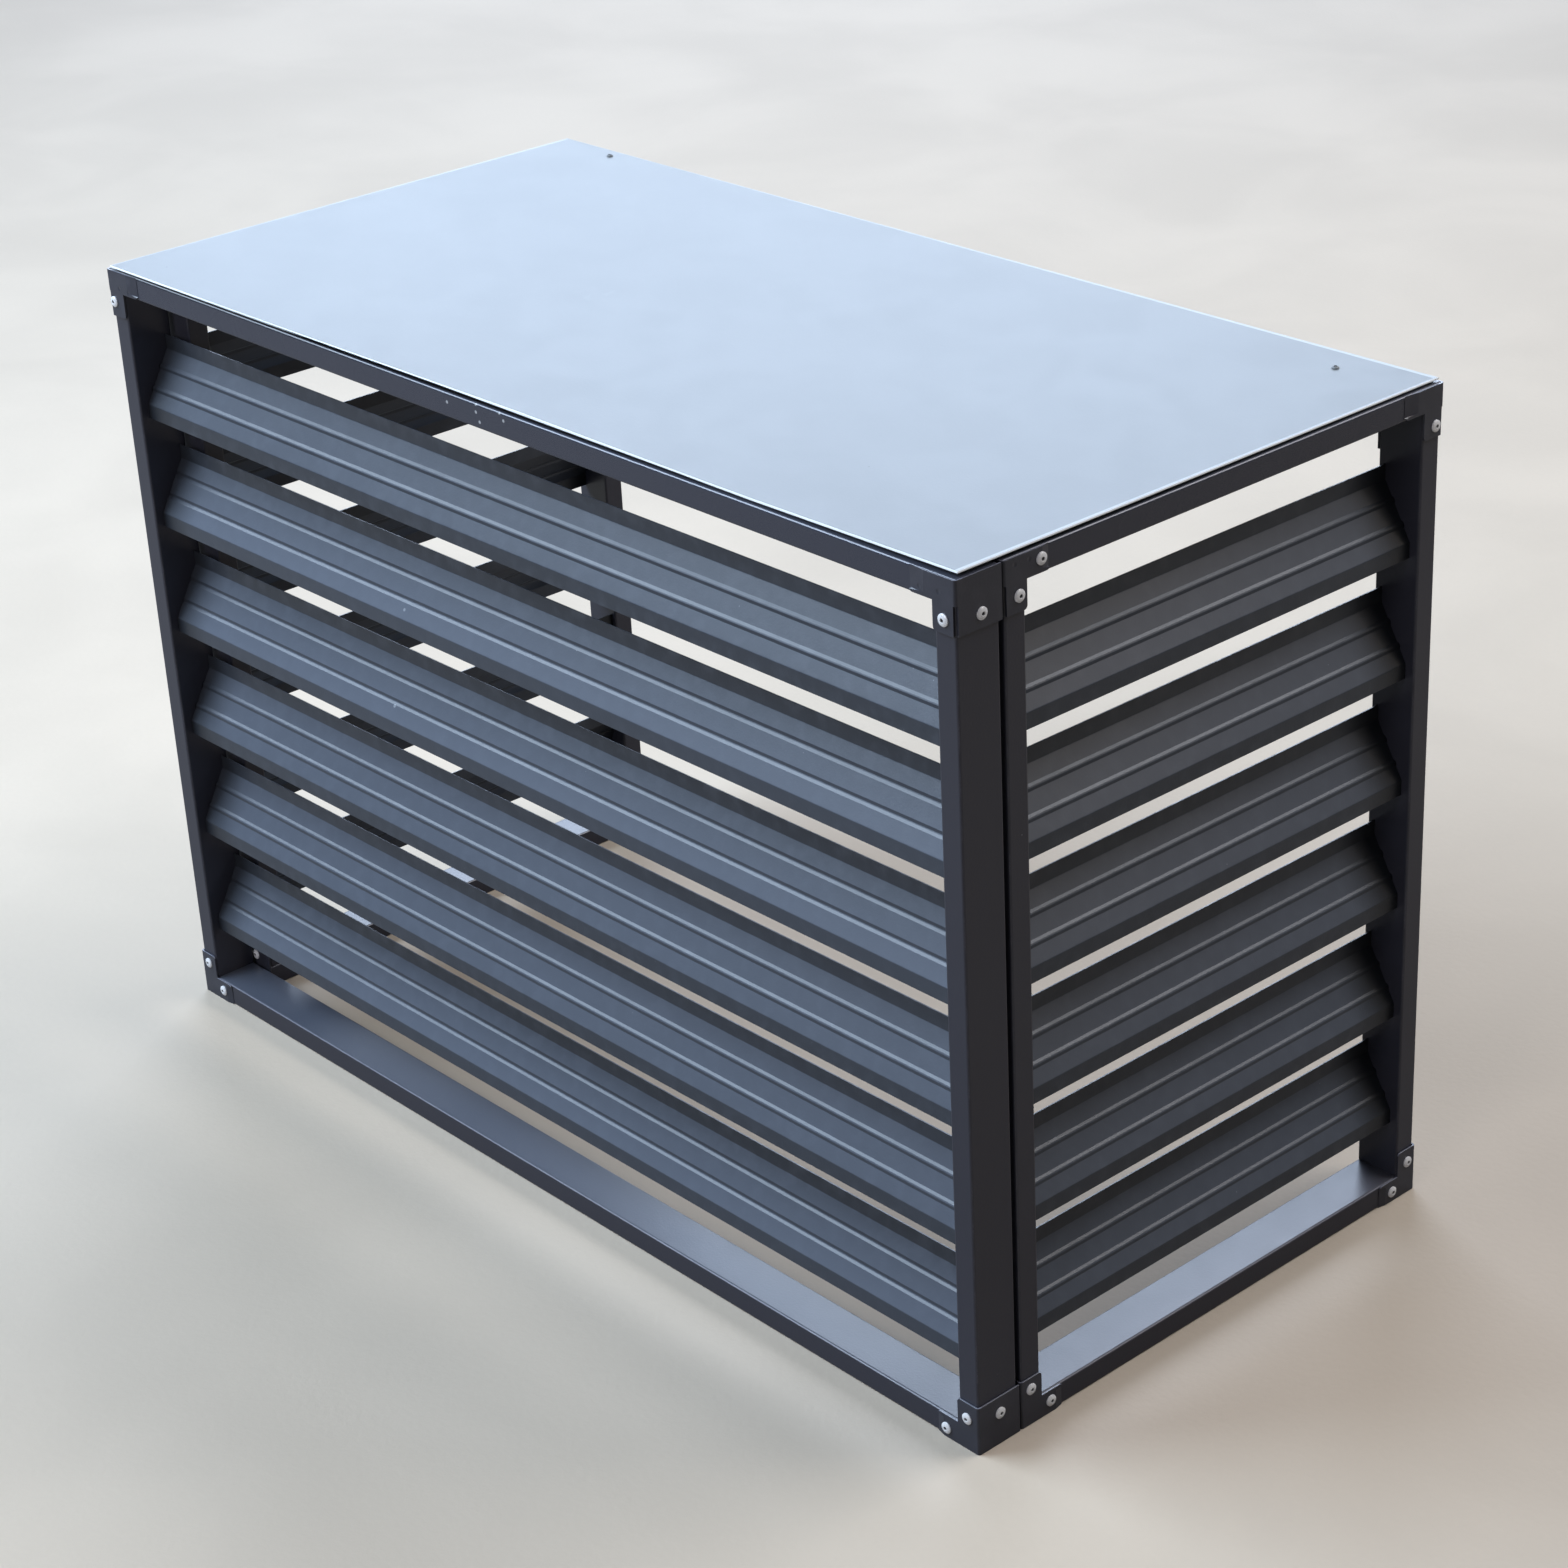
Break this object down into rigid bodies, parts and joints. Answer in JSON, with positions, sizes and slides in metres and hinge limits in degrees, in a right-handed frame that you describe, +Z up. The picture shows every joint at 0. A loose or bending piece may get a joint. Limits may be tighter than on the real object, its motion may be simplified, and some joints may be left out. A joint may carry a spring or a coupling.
{
  "type": "air conditioner screen",
  "caption": "Free-standing louvred sheet metal screen with a flat top plate, open at the back and below, that stands round an outdoor air conditioner unit.",
  "frame": {"origin": "on the ground under the middle of the frame", "axes": "+X along the front from left to right, +Y from the louvred front to the open back, +Z up"},
  "size_m": [1.0236, 0.5036, 0.7038],
  "materials": {
    "frame_coat": "fine-textured anthracite powder coat, satin",
    "slat_coat": "anthracite blue-grey coil coat, satin",
    "plate_coat": "smooth satin coat with a sky-blue sheen",
    "bracket_coat": "fine-textured anthracite powder coat, satin",
    "zinc_steel": "bright zinc plate"
  },
  "bodies": {
    "root": {"top_plate": "plate_coat", "front_panel_left_post": "frame_coat", "front_panel_right_post": "frame_coat", "front_panel_bottom_rail": "frame_coat", "front_panel_top_rail": "frame_coat", "right_panel_front_post": "frame_coat", "right_panel_rear_post": "frame_coat", "right_panel_bottom_rail": "frame_coat", "right_panel_top_rail": "frame_coat", "left_panel_front_post": "frame_coat", "left_panel_rear_post": "frame_coat", "left_panel_bottom_rail": "frame_coat", "left_panel_top_rail": "frame_coat", "rear_cross_rail": "frame_coat", "front_panel_slat_1": "slat_coat", "front_panel_slat_2": "slat_coat", "front_panel_slat_3": "slat_coat", "front_panel_slat_4": "slat_coat", "front_panel_slat_5": "slat_coat", "front_panel_slat_6": "slat_coat", "right_panel_slat_1": "slat_coat", "right_panel_slat_2": "slat_coat", "right_panel_slat_3": "slat_coat", "right_panel_slat_4": "slat_coat", "right_panel_slat_5": "slat_coat", "right_panel_slat_6": "slat_coat", "left_panel_slat_1": "slat_coat", "left_panel_slat_2": "slat_coat", "left_panel_slat_3": "slat_coat", "left_panel_slat_4": "slat_coat", "left_panel_slat_5": "slat_coat", "left_panel_slat_6": "slat_coat", "front_panel_bottom_left_bracket": "bracket_coat", "front_panel_bottom_right_bracket": "bracket_coat", "front_panel_top_left_bracket": "bracket_coat", "front_panel_top_right_bracket": "bracket_coat", "right_panel_bottom_front_bracket": "bracket_coat", "right_panel_bottom_rear_bracket": "bracket_coat", "right_panel_top_front_bracket": "bracket_coat", "right_panel_top_rear_bracket": "bracket_coat", "left_panel_bottom_front_bracket": "bracket_coat", "left_panel_bottom_rear_bracket": "bracket_coat", "left_panel_top_front_bracket": "bracket_coat", "left_panel_top_rear_bracket": "bracket_coat", "rear_left_angle": "bracket_coat", "rear_right_angle": "bracket_coat", "left_upper_joining_bolt": "zinc_steel", "left_lower_joining_bolt": "zinc_steel", "right_upper_joining_bolt": "zinc_steel", "right_lower_joining_bolt": "zinc_steel", "left_upper_threaded_insert": "zinc_steel", "left_lower_threaded_insert": "zinc_steel", "right_upper_threaded_insert": "zinc_steel", "right_lower_threaded_insert": "zinc_steel", "left_plate_screw": "plate_coat", "right_plate_screw": "plate_coat"}
  },
  "joints": []
}
